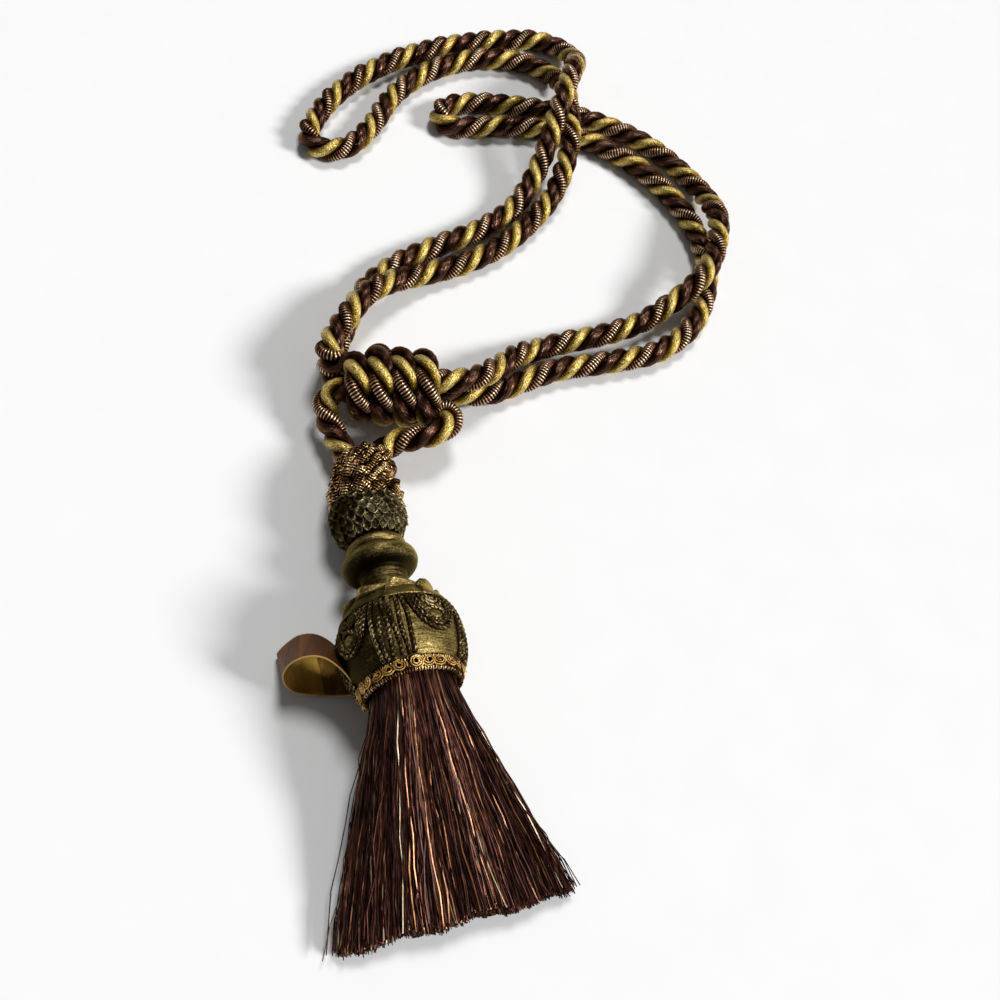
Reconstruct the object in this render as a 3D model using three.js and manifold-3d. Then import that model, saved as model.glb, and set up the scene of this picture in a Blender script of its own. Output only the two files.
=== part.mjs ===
// Rope curtain tieback with one key tassel, lying on a table. Millimetres, +Z up.
// The tassel lies along Y, skirt towards -Y and cap towards +Y. Beyond the cap a wrapped knot gathers
// two doubled loops of rope, one to each side. The origin is below the middle of the tassel.
import * as THREE from "three";
import { mergeVertices } from "three/addons/utils/BufferGeometryUtils.js";
import Module from "manifold-3d";

const wasm = await Module();
wasm.setup();

const GAP = 0.3; // left between neighbouring pieces
const WELD = 1e-3; // vertices nearer than this are one

// Rope
const ROPE_RADIUS = 5.2;
const ROPE_SIDES = 10;
const G = 5.4; // height of the rope's axis where it lies on the table

// Wrapped knot
const KNOT_LEFT_END = new THREE.Vector3(4, 120.3, 17.4);
const KNOT_DIRECTION = new THREE.Vector3(0.961, -0.276, 0).normalize();
const KNOT_LENGTH = 36;
const KNOT_WRAPS = 4;
const WRAP_AXIS_RADIUS = 12; // from the knot's axis to the axis of the rope wrapped on it

// Tassel: places along its axis are counted from the axis's origin, positive towards the cap
const TASSEL_ORIGIN = new THREE.Vector3(0, 8, 21.9);
const TASSEL_TILT = THREE.MathUtils.degToRad(7.9); // the cap end lies lower than the bowl
const BOWL_PLACE = -4;
const BOWL_RADIUS = 22.7;
const BASE_PLACE = -21;
const BASE_RADIUS = 14.8;
const CROWN_PLACE = 7;
const CROWN_HEIGHT = 6;
const NECK_RADIUS = 8.4;
const RING_PLACE = 31;
const RING_AXIS_RADIUS = 9.8;
const RING_THICKNESS_RADIUS = 4.5;
const BEAD_PLACE = 38;
const TOP_BALL_PLACE = 52.5;
const TOP_BALL_RADIUS = 15;
const CAP_PLACE = 57;
const CAP_HEIGHT = 25;
const CAP_LEAN = 5; // sideways, from the cap's base to its top
const PETALS = 8;

// Ribbon loop, in its own plane: u away from the tassel, v up across the loop
const RIBBON_WIDTH = 18;
const RIBBON_THICKNESS = 1.2;
const RIBBON_TILT = THREE.MathUtils.degToRad(43); // how far the ribbon's width leans from upright

// ---- Solids -----------------------------------------------------------------------------------

function solidOf(geometry) {
  const bare = geometry.clone();
  bare.deleteAttribute("normal");
  bare.deleteAttribute("uv");
  const merged = mergeVertices(bare, WELD);
  return new wasm.Manifold(
    new wasm.Mesh({
      numProp: 3,
      vertProperties: new Float32Array(merged.attributes.position.array),
      triVerts: new Uint32Array(merged.index.array),
    }),
  );
}

function geometryOf(solid) {
  const { vertProperties, triVerts } = solid.getMesh();
  const geometry = new THREE.BufferGeometry();
  geometry.setAttribute("position", new THREE.BufferAttribute(vertProperties, 3));
  geometry.setIndex(new THREE.BufferAttribute(triVerts, 1));
  geometry.computeVertexNormals();
  return geometry;
}

function cutAway(geometry, ...cutters) {
  const cut = cutters.reduce((left, cutter) => left.subtract(solidOf(cutter)), solidOf(geometry));
  return geometryOf(cut);
}

// Moves each vertex of a geometry by a function of its position.
function reshape(geometry, move) {
  const positions = geometry.attributes.position;
  const vertex = new THREE.Vector3();
  for (let i = 0; i < positions.count; i++) {
    vertex.fromBufferAttribute(positions, i);
    move(vertex);
    positions.setXYZ(i, vertex.x, vertex.y, vertex.z);
  }
  return geometry;
}

// From the tassel's own axis, which is Y through the bowl's middle, to where it lies on the table.
function layDown(geometry) {
  return geometry.rotateX(-TASSEL_TILT).translate(...TASSEL_ORIGIN.toArray());
}

// Everything under the table top, to cut a resting flat.
function underTable() {
  const size = 400;
  return new THREE.BoxGeometry(size, size, size).translate(0, 0, -size / 2);
}

// ---- Rope -------------------------------------------------------------------------------------

// Each route is a list of points of the rope's axis: x, y, z.
const LEG_LEFT_ROUTE = [
  [5, 114.6, 18.4], [2.6, 115.6, 17.7], [-2.4, 117.4, 15.9], [-5.8, 114.6, 13.2],
  [-6.1, 109, 11.2], [-5.2, 103, 10.4], [-3.9, 96.5, 10.6], [-2.4, 90, 11.3], [-0.6, 83.5, 12],
];

const LEG_RIGHT_ROUTE = [
  [34.6, 105, 13.6], [37, 104.3, 14.1], [41, 102.5, 15], [42.6, 97.6, 16.3],
  [39.6, 92.7, 17.4], [34, 90.2, 18], [28, 89.7, 17.4], [21.8, 90.5, 15.6],
  [15.8, 90.4, 13.9], [11.4, 87.6, 12.9], [8, 84, 12.4],
];

const LOOP_RIGHT_ROUTE = [
  [36.5, 111.3, 22.6], [39, 111.1, 22.6], [47, 110.9, 22.4], [57, 113, 19.8], [67, 118.5, 16],
  [78, 126.3, 11.5], [91, 132, 6.4], [106, 134.8, G], [128, 137, G], [147, 141, 6.6],
  [161, 146, 11], [172, 150.5, 16.3], [183.5, 160, 17], [193, 174, 17], [200, 190, 15.5],
  [203.6, 207, 8.8], [200.5, 225.5, G], [186, 250, G], [162, 269, G], [132, 280.5, G],
  [105, 286, G], [92, 286, G], [84.5, 283, G], [82.2, 277.5, G], [85.2, 271.6, G],
  [95, 270, G], [120, 268.5, G], [146, 260.5, G], [169, 244, G], [184, 221, G],
  [191.5, 195, G], [190.5, 172, G], [182, 151, G], [168, 134.5, G], [148, 124, G],
  [122, 121.6, G], [98, 121, G], [80, 117, G], [66, 113.5, 5.6], [53, 113.2, 8],
  [40, 115, 11.2], [37.5, 115.6, 11.6],
];

const LOOP_LEFT_ROUTE = [
  [7.6, 125.4, 20.6], [5, 126, 20.8], [0, 127.5, 20.9], [-1.8, 132.5, 20.7], [1, 139.3, 20.2],
  [6.5, 147, 19.2], [13.5, 155.8, 18], [22.5, 165, 16.6], [36, 173.8, 11.5], [52, 180, 6.3],
  [72, 184.8, G], [92, 193, G], [110, 205.8, G], [125, 219.8, 7.2], [135, 234.5, 12.3],
  [141.5, 250, 16.5], [145.2, 265, 16.7], [148.2, 279, 16], [150, 291, 11], [148.4, 302.5, 6.3],
  [140, 312.5, G], [118, 318, G], [92, 313.5, G], [66, 298, G], [45, 272, G],
  [35, 263, G], [25.5, 260, G], [18, 262.8, G], [15.4, 269.5, G], [20.5, 281, G],
  [37, 300, G], [63, 317, G], [97, 328.3, G], [130, 331.6, G], [149, 330, G],
  [159.8, 323, 5.8], [162.6, 311, 9.5], [158.5, 297.5, 18], [151, 284, 26], [143.5, 271.5, 27.9],
  [135, 257, 25.5], [125, 239.5, 18], [114.6, 225.6, 10], [102, 213.8, 5.8], [82, 203, G],
  [58, 195, G], [38, 186.5, G], [24, 176, G], [15.3, 164, 5.6], [9.5, 153.5, 6.8],
  [4.5, 144, 8.5], [0, 135.6, 9.6], [-0.6, 128.4, 9.7], [4.6, 125, 9.7], [7.2, 124.3, 9.7],
];

function roundSection(radius, sides) {
  const corners = [];
  for (let side = 0; side < sides; side++) {
    const angle = (2 * Math.PI * side) / sides;
    corners.push(new THREE.Vector2(radius * Math.cos(angle), radius * Math.sin(angle)));
  }
  return new THREE.Shape(corners);
}

// A tube of rope that takes one step from each point of its route to the next.
function ropeTube(route) {
  const axis = new THREE.CatmullRomCurve3(route.map((point) => new THREE.Vector3(...point)));
  axis.getUtoTmapping = (u) => u;
  const settings = { steps: route.length - 1, bevelEnabled: false, extrudePath: axis };
  return new THREE.ExtrudeGeometry(roundSection(ROPE_RADIUS, ROPE_SIDES), settings);
}

// The wound rope's outer form: one scallop for each wrap, with a flat face at each end.
function knot(grow = 0) {
  const pitch = (KNOT_LENGTH - 2 * ROPE_RADIUS) / (KNOT_WRAPS - 1);
  const valley = Math.acos(pitch / 2 / ROPE_RADIUS);
  const shoulder = THREE.MathUtils.degToRad(20);
  const stepsPerWrap = 5;
  const radius = ROPE_RADIUS + grow;
  const profile = [new THREE.Vector2(0, -grow), new THREE.Vector2(WRAP_AXIS_RADIUS, -grow)];
  for (let wrap = 0; wrap < KNOT_WRAPS; wrap++) {
    const first = wrap === 0 ? shoulder : valley;
    const last = Math.PI - (wrap === KNOT_WRAPS - 1 ? shoulder : valley);
    for (let step = 0; step <= stepsPerWrap; step++) {
      const angle = first + ((last - first) * step) / stepsPerWrap;
      const place = ROPE_RADIUS + wrap * pitch - radius * Math.cos(angle);
      profile.push(new THREE.Vector2(WRAP_AXIS_RADIUS + radius * Math.sin(angle), place));
    }
  }
  profile.push(new THREE.Vector2(WRAP_AXIS_RADIUS, KNOT_LENGTH + grow));
  profile.push(new THREE.Vector2(0, KNOT_LENGTH + grow));
  const turn = new THREE.Quaternion().setFromUnitVectors(new THREE.Vector3(0, 1, 0), KNOT_DIRECTION);
  const body = new THREE.LatheGeometry(profile, 32);
  return body.applyQuaternion(turn).translate(...KNOT_LEFT_END.toArray());
}

// ---- Tassel -----------------------------------------------------------------------------------

// Each petal of the leaf crown stands out and up in the middle, and dips where two meet.
function spreadPetals(vertex) {
  const spread = 0.9;
  const dip = 1.6;
  const radius = Math.hypot(vertex.x, vertex.z);
  const rise = (vertex.y - CROWN_PLACE) / CROWN_HEIGHT;
  const inCrown = rise > 0.1 && rise < 1.1 && radius > 12;
  if (!inCrown) return;
  const wave = Math.cos(PETALS * Math.atan2(vertex.z, vertex.x));
  vertex.x += (vertex.x / radius) * wave * spread * rise;
  vertex.z += (vertex.z / radius) * wave * spread * rise;
  vertex.y += wave * dip * rise;
}

function head() {
  const profile = new THREE.Path();
  profile.moveTo(0, BASE_PLACE);
  profile.lineTo(BASE_RADIUS, BASE_PLACE);
  profile.lineTo(BASE_RADIUS, BASE_PLACE + 2.8);
  profile.lineTo(19.4, BOWL_PLACE - 13.6);
  profile.splineThru([
    new THREE.Vector2(22, BOWL_PLACE - 6.5),
    new THREE.Vector2(BOWL_RADIUS, BOWL_PLACE),
    new THREE.Vector2(21.4, BOWL_PLACE + 6.8),
    new THREE.Vector2(18.2, CROWN_PLACE - 0.4),
  ]);
  profile.lineTo(17.6, CROWN_PLACE + 1);
  profile.lineTo(16.6, CROWN_PLACE + 0.5 * CROWN_HEIGHT);
  profile.lineTo(16.4, CROWN_PLACE + CROWN_HEIGHT);
  profile.lineTo(14.8, CROWN_PLACE + CROWN_HEIGHT);
  profile.lineTo(11.6, CROWN_PLACE + 0.7 * CROWN_HEIGHT);
  profile.lineTo(NECK_RADIUS, CROWN_PLACE + CROWN_HEIGHT);
  profile.lineTo(NECK_RADIUS, 26.6);
  profile.absarc(RING_AXIS_RADIUS, RING_PLACE, RING_THICKNESS_RADIUS, -1.7, 1.75);
  profile.absarc(NECK_RADIUS, BEAD_PLACE, 1.9, -1.4, 1.3);
  const underCap = Math.asin((CAP_PLACE - TOP_BALL_PLACE) / TOP_BALL_RADIUS);
  profile.absarc(0, TOP_BALL_PLACE, TOP_BALL_RADIUS, -0.955, underCap);
  profile.lineTo(0, CAP_PLACE);
  const turned = new THREE.LatheGeometry(profile.getPoints(3), 40);
  return cutAway(layDown(reshape(turned, spreadPetals)), underTable());
}

function cap(grow = 0) {
  const profile = new THREE.Path();
  profile.moveTo(0, -grow);
  profile.lineTo(14 + grow, -grow);
  profile.splineThru([
    new THREE.Vector2(13.6 + grow, 3),
    new THREE.Vector2(12.2 + grow, 9.5),
    new THREE.Vector2(11 + grow, 15),
    new THREE.Vector2(9.4 + grow, 20),
    new THREE.Vector2(5.6 + grow, 23.6),
    new THREE.Vector2(0, CAP_HEIGHT + grow),
  ]);
  const body = new THREE.LatheGeometry(profile.getPoints(3), 28);
  reshape(body, (vertex) => {
    vertex.x += CAP_LEAN * Math.max(0, vertex.y / CAP_HEIGHT) ** 1.4;
    vertex.y += CAP_PLACE + GAP;
  });
  return layDown(body);
}

const GIMP_OUTER = 19.2;

function gimp() {
  const curls = 24;
  const inner = BASE_RADIUS + GAP;
  const profile = [
    [inner, BASE_PLACE - 1.8],
    [18.2, BASE_PLACE - 1.8],
    [GIMP_OUTER, BASE_PLACE - 0.7],
    [GIMP_OUTER, BASE_PLACE + 1.4],
    [18.2, BASE_PLACE + 2.5],
    [inner, BASE_PLACE + 2.4],
    [inner, BASE_PLACE - 1.8],
  ];
  const ring = new THREE.LatheGeometry(profile.map((point) => new THREE.Vector2(...point)), 3 * curls);
  reshape(ring, (vertex) => {
    const radius = Math.hypot(vertex.x, vertex.z);
    if (radius < GIMP_OUTER - 0.2) return;
    const bulge = 0.5 * Math.cos(curls * Math.atan2(vertex.z, vertex.x));
    vertex.x *= 1 + bulge / radius;
    vertex.z *= 1 + bulge / radius;
  });
  return layDown(ring);
}

// Sections of the skirt from its root to its cut end. It hangs limp and spreads on the table.
const SKIRT_SECTIONS = [
  { y: -13.2, x: 0, z: 24.8, halfWidth: 14.5, halfHeight: 14.5 },
  { y: -16, x: 0, z: 25.2, halfWidth: 14.5, halfHeight: 14.5 },
  { y: -25, x: 0, z: 21.5, halfWidth: 18, halfHeight: 15.2 },
  { y: -37, x: 0.2, z: 16.5, halfWidth: 23.5, halfHeight: 15 },
  { y: -51, x: 0.4, z: 11.5, halfWidth: 28.5, halfHeight: 13.5 },
  { y: -65, x: 0.6, z: 8, halfWidth: 33.5, halfHeight: 12 },
  { y: -78, x: 0.7, z: 6, halfWidth: 38, halfHeight: 10 },
  { y: -89.6, x: 0.8, z: 4.5, halfWidth: 41.2, halfHeight: 8.5 },
];
const SKIRT_TUFTS = 13;

// A wedge that parts two tufts at the cut end, pointing back to the skirt's root.
function tuftNotch(index) {
  const end = SKIRT_SECTIONS.at(-1);
  const across = (index / SKIRT_TUFTS) * 2 - 1;
  const depth = 11 + 4 * Math.sin(2.3 * index);
  const mouth = 1.3;
  const wedge = new THREE.Shape();
  wedge.moveTo(-mouth, -3);
  wedge.lineTo(mouth, -3);
  wedge.lineTo(0, depth);
  const notch = new THREE.ExtrudeGeometry(wedge, { depth: 40, bevelEnabled: false });
  const fan = Math.atan2(across * end.halfWidth * 0.4, -end.y);
  return notch.rotateZ(fan).translate(end.x + across * end.halfWidth, end.y, -5);
}

function skirt() {
  const rows = SKIRT_SECTIONS.length - 1;
  const body = new THREE.CylinderGeometry(1, 1, 1, 40, rows);
  reshape(body, (vertex) => {
    const row = Math.round((0.5 - vertex.y) * rows);
    const section = SKIRT_SECTIONS[row];
    const rootLean = row < 2 ? Math.tan(TASSEL_TILT) : 0;
    const rise = vertex.z * section.halfHeight;
    vertex.x = section.x + vertex.x * section.halfWidth;
    vertex.y = section.y + rise * rootLean;
    vertex.z = Math.max(0, section.z + rise);
  });
  const notches = [];
  for (let index = 1; index < SKIRT_TUFTS; index++) notches.push(tuftNotch(index));
  return cutAway(body, ...notches);
}

// ---- Ribbon loop ------------------------------------------------------------------------------

// The middle of the ribbon's thickness round the loop, from root to root: u, v.
const RIBBON_LOOP = [
  [14, 7], [18, 11.4], [22, 16], [27.5, 20], [33.5, 21.6], [38.6, 20],
  [41.2, 15.6], [40.6, 9.6], [36.5, 5.4], [29.5, 3.6], [21.5, 3.8], [14, 5.2],
];

function ribbon() {
  const middle = new THREE.SplineCurve(RIBBON_LOOP.map((point) => new THREE.Vector2(...point)));
  const steps = 30;
  const outer = [];
  const inner = [];
  for (let step = 0; step <= steps; step++) {
    const point = middle.getPointAt(step / steps);
    const tangent = middle.getTangentAt(step / steps);
    const side = new THREE.Vector2(-tangent.y, tangent.x).multiplyScalar(RIBBON_THICKNESS / 2);
    outer.push(point.clone().add(side));
    inner.push(point.clone().sub(side));
  }
  const band = new THREE.Shape([...outer, ...inner.reverse()]);
  const length = { depth: RIBBON_WIDTH, bevelEnabled: false };
  const loop = new THREE.ExtrudeGeometry(band, length).translate(0, 0, 2.4 - RIBBON_WIDTH);
  const away = new THREE.Vector3(-1, 0, 0);
  const across = new THREE.Vector3(0, Math.cos(RIBBON_TILT), Math.sin(RIBBON_TILT));
  const along = new THREE.Vector3().crossVectors(away, across);
  loop.applyMatrix4(new THREE.Matrix4().makeBasis(away, across, along));
  const clearance = [
    [0, BASE_PLACE - 3],
    [GIMP_OUTER + 1, BASE_PLACE - 3],
    [GIMP_OUTER + 1, BASE_PLACE + 2.5],
    [21.6, BOWL_PLACE - 9.5],
    [22.7, BOWL_PLACE - 5],
    [BOWL_RADIUS + 2 * GAP, BOWL_PLACE],
    [22.9, BOWL_PLACE + 4],
    [21.4, BOWL_PLACE + 9],
    [18.2, BOWL_PLACE + 14],
    [0, BOWL_PLACE + 16],
  ];
  const bowl = new THREE.LatheGeometry(clearance.map((point) => new THREE.Vector2(...point)), 48);
  return cutAway(loop, layDown(bowl));
}

// ---- The object -------------------------------------------------------------------------------

const tieback = new THREE.Group();

function addPiece(name, geometry, color, roughness, metalness) {
  const material = new THREE.MeshStandardMaterial({ color, roughness, metalness });
  const piece = new THREE.Mesh(geometry, material);
  piece.name = name;
  tieback.add(piece);
}

const ROPE_BROWN = 0x6b4a2c;
addPiece("rope_knot", knot(), ROPE_BROWN, 0.6, 0.1);
const ROUTES = {
  rope_leg_left: LEG_LEFT_ROUTE,
  rope_leg_right: LEG_RIGHT_ROUTE,
  rope_loop_right: LOOP_RIGHT_ROUTE,
  rope_loop_left: LOOP_LEFT_ROUTE,
};
for (const [name, route] of Object.entries(ROUTES)) {
  addPiece(name, cutAway(ropeTube(route), knot(GAP), cap(2 * GAP)), ROPE_BROWN, 0.6, 0.1);
}
addPiece("tassel_cap", cap(), 0x7a4a26, 0.6, 0.2);
addPiece("tassel_head", head(), 0x8a7030, 0.4, 0.7);
addPiece("gimp_trim", gimp(), 0xa87a3c, 0.4, 0.5);
addPiece("tassel_skirt", skirt(), 0x3a1c14, 0.6, 0);
addPiece("ribbon_loop", ribbon(), 0x4a2c18, 0.4, 0);

export default tieback;
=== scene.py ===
import math
from collections import namedtuple

import bmesh
import bpy
import numpy as np
from mathutils import Matrix, Vector


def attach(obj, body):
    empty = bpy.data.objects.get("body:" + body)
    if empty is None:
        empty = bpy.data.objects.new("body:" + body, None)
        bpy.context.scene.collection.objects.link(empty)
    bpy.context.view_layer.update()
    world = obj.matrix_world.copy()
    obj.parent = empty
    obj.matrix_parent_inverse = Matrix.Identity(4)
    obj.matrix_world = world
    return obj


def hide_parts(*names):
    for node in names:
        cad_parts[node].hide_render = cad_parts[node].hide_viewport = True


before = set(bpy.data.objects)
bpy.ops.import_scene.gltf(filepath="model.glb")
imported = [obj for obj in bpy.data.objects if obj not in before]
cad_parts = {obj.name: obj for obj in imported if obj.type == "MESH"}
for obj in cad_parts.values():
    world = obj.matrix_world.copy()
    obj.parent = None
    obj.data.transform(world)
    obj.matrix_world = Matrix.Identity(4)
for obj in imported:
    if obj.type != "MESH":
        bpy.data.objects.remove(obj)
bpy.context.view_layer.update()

# ---- Camera, table and light ------------------------------------------------------------------
# One eye above the skirt's cut end looks down over the whole tieback. The table and the room are
# plain and pale. A light low at the right models the gilding, and one above lights the rope.

EYE = Vector((-0.0589, -0.117, 0.374))
LOOKS_AT = Vector((0.0575, 0.0649, 0.0))
UPRIGHT = Vector((0.151, 0.8701, 0.4699))
LENS = 37.7

ahead = (LOOKS_AT - EYE).normalized()
rightward = ahead.cross(UPRIGHT).normalized()
upward = rightward.cross(ahead)
camera = bpy.data.objects.new("camera", bpy.data.cameras.new("camera"))
facing = Matrix((rightward, upward, -ahead)).transposed().to_4x4()
camera.matrix_world = Matrix.Translation(EYE) @ facing
camera.data.lens = LENS
bpy.context.scene.collection.objects.link(camera)
bpy.context.scene.camera = camera
bpy.context.scene.view_settings.view_transform = "Standard"


def soft_light(name, source, spread, strength):
    """Even light from a direction, its source so many degrees across."""
    light = bpy.data.objects.new(name, bpy.data.lights.new(name, "SUN"))
    light.rotation_euler = (-Vector(source)).to_track_quat("-Z", "Y").to_euler()
    light.data.angle = math.radians(spread)
    light.data.energy = strength
    bpy.context.scene.collection.objects.link(light)


soft_light("light_right", (0.77, -0.43, 0.62), spread=15.5, strength=2.9)
soft_light("light_above", (0.22, 0.42, 1.0), spread=17.0, strength=1.5)


class Shade:
    """A value in a material's nodes. Arithmetic on it adds Math nodes; `add` adds any other node."""

    def __init__(self, tree, socket=None):
        self.tree = tree
        self.socket = socket

    def add(self, kind, settings=None, inputs=None, output=0):
        node = self.tree.nodes.new("ShaderNode" + kind)
        for name, setting in (settings or {}).items():
            if name == "stops":
                ramp = node.color_ramp.elements
                while len(ramp) < len(setting):
                    ramp.new(0.5)
                for element, (place, colour) in zip(ramp, setting):
                    element.position = place
                    element.color = (*colour, 1.0)
            else:
                setattr(node, name, setting)
        for key, value in (inputs or {}).items():
            if isinstance(value, Shade):
                self.tree.links.new(value.socket, node.inputs[key])
            else:
                node.inputs[key].default_value = value
        return Shade(self.tree, node.outputs[output])

    def maths(self, operation, *terms):
        """A Math node on the terms, or on this value where none is given."""
        return self.add("Math", {"operation": operation}, dict(enumerate(terms or (self,))))

    def __add__(self, other):
        return self.maths("ADD", self, other)

    def __sub__(self, other):
        return self.maths("SUBTRACT", self, other)

    def __rsub__(self, other):
        return self.maths("SUBTRACT", other, self)

    def __mul__(self, other):
        return self.maths("MULTIPLY", self, other)

    __radd__ = __add__
    __rmul__ = __mul__

    def clamped(self, low, high):
        """0 where this is at or below low, 1 at or above high, smooth between."""
        settings = {"interpolation_type": "SMOOTHSTEP"}
        inputs = {"Value": self, "From Min": low, "From Max": high}
        return self.add("MapRange", settings, inputs)

    def ramp(self, *stops):
        return self.add("ValToRGB", {"stops": stops}, {"Fac": self})

    def mix(self, first, second):
        """The first colour where this is 0, the second where it is 1."""
        inputs = {0: self, 6: opaque(first), 7: opaque(second)}
        return self.add("Mix", {"data_type": "RGBA"}, inputs, output=2)

    def noise(self, vector, scale=1.0, detail=2.0, **more):
        return self.add("TexNoise", {}, {"Vector": vector, "Scale": scale, "Detail": detail, **more})

    def place(self):
        """The point's own place on the object, in metres."""
        return self.add("TexCoord", output="Object")


def opaque(colour):
    return colour if isinstance(colour, Shade) else (*colour, 1.0)


def new_material(name):
    material = bpy.data.materials.new(name)
    material.use_nodes = True
    return material, Shade(material.node_tree)


def finish_material(material, bump=None, bump_depth=0.0, **inputs):
    """Sets the surface's sockets, named with _ for a space, and an optional bump in metres."""
    surface = material.node_tree.nodes["Principled BSDF"]
    shade = Shade(material.node_tree)
    if bump is not None:
        relief = {"Height": bump, "Distance": bump_depth, "Strength": 1.0}
        inputs["Normal"] = shade.add("Bump", {}, relief)
    for name, value in inputs.items():
        socket = surface.inputs[name.replace("_", " ")]
        if isinstance(value, Shade):
            material.node_tree.links.new(value.socket, socket)
        else:
            socket.default_value = opaque(value) if isinstance(value, tuple) else value


ROOM_SEEN, ROOM_LIGHT = 0.97, 0.13  # the room's brightness to the eye, and to the things in it
world = bpy.data.worlds.new("room")
world.use_nodes = True
background = world.node_tree.nodes["Background"]
strength = Shade(world.node_tree).add("LightPath") * (ROOM_SEEN - ROOM_LIGHT) + ROOM_LIGHT
world.node_tree.links.new(strength.socket, background.inputs["Strength"])
background.inputs["Color"].default_value = (1.0, 1.0, 1.0, 1.0)
bpy.context.scene.world = world

table_mesh = bmesh.new()
bmesh.ops.create_grid(table_mesh, x_segments=1, y_segments=1, size=3.0)
table = bpy.data.objects.new("table_top", bpy.data.meshes.new("table_top"))
table_mesh.to_mesh(table.data)
table_mesh.free()
bpy.context.scene.collection.objects.link(table)
table_white, shade = new_material("table_white")
grain = shade.noise(shade.place(), 40.0)
finish_material(table_white, Base_Color=grain.mix((0.86, 0.86, 0.86), (0.9, 0.9, 0.9)), Roughness=0.75)
table.data.materials.append(table_white)


# ---- Rope -------------------------------------------------------------------------------------
# About 2.1 m of laid cord, 11 mm thick: one strand of soft gold yarn, one of brown satin and one
# wound with copper wire, twisted to the left. Both ends go into the tassel's cap. Between them the
# rope makes a doubled loop to each side, and four wraps of it bind the loops into a knot.

MM = 0.001
LAY_LENGTH = 24.87
STRAND_AXIS_RADIUS, STRAND_RADIUS, STRAND_SIDES = 2.9, 2.5, 9
YARN_STEP = 2.2
WIRE_PITCH = 1.08
WIRE_PROUD, WIRE_GROOVE = 0.12, 0.42
KNOT_RUN, KNOT_EASE = 780, 130  # the twist has slackened by so many degrees at the knot
LOW = 5.4  # the rope's middle where it lies on the table

# The rope's route: each leg from the knot's end to the cap, and each loop from the wraps and back.
LEG_LEFT = [
    (5, 114.6, 18.4), (2.6, 115.6, 17.7), (-2.4, 117.4, 15.9), (-5.8, 114.6, 13.2),
    (-6.1, 109, 11.2), (-5.2, 103, 10.4), (-3.9, 96.5, 10.6), (-2.4, 90, 11.3), (-0.6, 83.5, 12),
]
LEG_RIGHT = [
    (34.6, 105, 13.6), (37, 104.3, 14.1), (41, 102.5, 15), (42.6, 97.6, 16.3),
    (39.6, 92.7, 17.4), (34, 90.2, 18), (28, 89.7, 17.4), (21.8, 90.5, 15.6),
    (15.8, 90.4, 13.9), (11.4, 87.6, 12.9), (8, 84, 12.4),
]
PASS_ABOVE, PASS_BELOW = (20.5, 113.5, 19.5), (21, 113, 12.5)  # inside the wraps
LOOP_RIGHT = [
    (36.5, 111.3, 22.6), (39, 111.1, 22.6), (47, 110.9, 22.4), (57, 113, 19.8), (67, 118.5, 16),
    (78, 126.3, 11.5), (91, 132, 6.4), (106, 134.8, LOW), (128, 137, LOW), (147, 141, 6.6),
    (161, 146, 11), (172, 150.5, 16.3), (183.5, 160, 17), (193, 174, 17), (200, 190, 15.5),
    (203.6, 207, 8.8), (200.5, 225.5, LOW), (186, 250, LOW), (162, 269, LOW), (132, 280.5, LOW),
    (105, 286, LOW), (92, 286, LOW), (84.5, 283, LOW), (82.2, 277.5, LOW), (85.2, 271.6, LOW),
    (95, 270, LOW), (120, 268.5, LOW), (146, 260.5, LOW), (169, 244, LOW), (184, 221, LOW),
    (191.5, 195, LOW), (190.5, 172, LOW), (182, 151, LOW), (168, 134.5, LOW), (148, 124, LOW),
    (122, 121.6, LOW), (98, 121, LOW), (80, 117, LOW), (66, 113.5, 5.6), (53, 113.2, 8),
    (43, 114.6, 10.2),
]
LOOP_LEFT = [
    (4.4, 126.4, 20.9), (0, 127.5, 20.9), (-1.8, 132.5, 20.7), (1, 139.3, 20.2),
    (6.5, 147, 19.2), (13.5, 155.8, 18), (22.5, 165, 16.6), (36, 173.8, 11.5), (52, 180, 6.3),
    (72, 184.8, LOW), (92, 193, LOW), (110, 205.8, LOW), (125, 219.8, 7.2), (135, 234.5, 12.3),
    (141.5, 250, 16.5), (145.2, 265, 16.7), (148.2, 279, 16), (150, 291, 11), (148.4, 302.5, 6.3),
    (140, 312.5, LOW), (118, 318, LOW), (92, 313.5, LOW), (66, 298, LOW), (45, 272, LOW),
    (35, 263, LOW), (25.5, 260, LOW), (18, 262.8, LOW), (15.4, 269.5, LOW), (20.5, 281, LOW),
    (37, 300, LOW), (63, 317, LOW), (97, 328.3, LOW), (130, 331.6, LOW), (149, 330, LOW),
    (159.8, 323, 5.8), (162.6, 311, 9.5), (158.5, 297.5, 18), (151, 284, 26), (143.5, 271.5, 27.9),
    (135, 257, 25.5), (125, 239.5, 18), (114.6, 225.6, 10), (102, 213.8, 5.8), (82, 203, LOW),
    (58, 195, LOW), (38, 186.5, LOW), (24, 176, LOW), (15.3, 164, 5.6), (9.5, 153.5, 6.8),
    (4.5, 144, 8.5), (0, 135.6, 9.6), (-0.6, 128.4, 9.7), (4.6, 125, 9.7), (7.2, 124.3, 9.7),
]

# The wraps: turns about the knot's axis in degrees, and at each the place along it and the radius.
KNOT_LEFT_END = np.array([4, 120.3, 17.4])
KNOT_ALONG = np.array([0.961, -0.276, 0])
KNOT_BACK = np.array([0.276, 0.961, 0])
WRAP_TURNS = [-51, -110, -180, -540, -900, -1260, -1350, -1410]
WRAP_PLACES = [33.5, 34, 33.6, 24.4, 15.2, 6, 3.6, 2.2]
WRAP_RADII = [7.5, 11.4, 11.8, 11.8, 11.8, 11.8, 10, 6.6]
WRAP_STEP = 15.0


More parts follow.
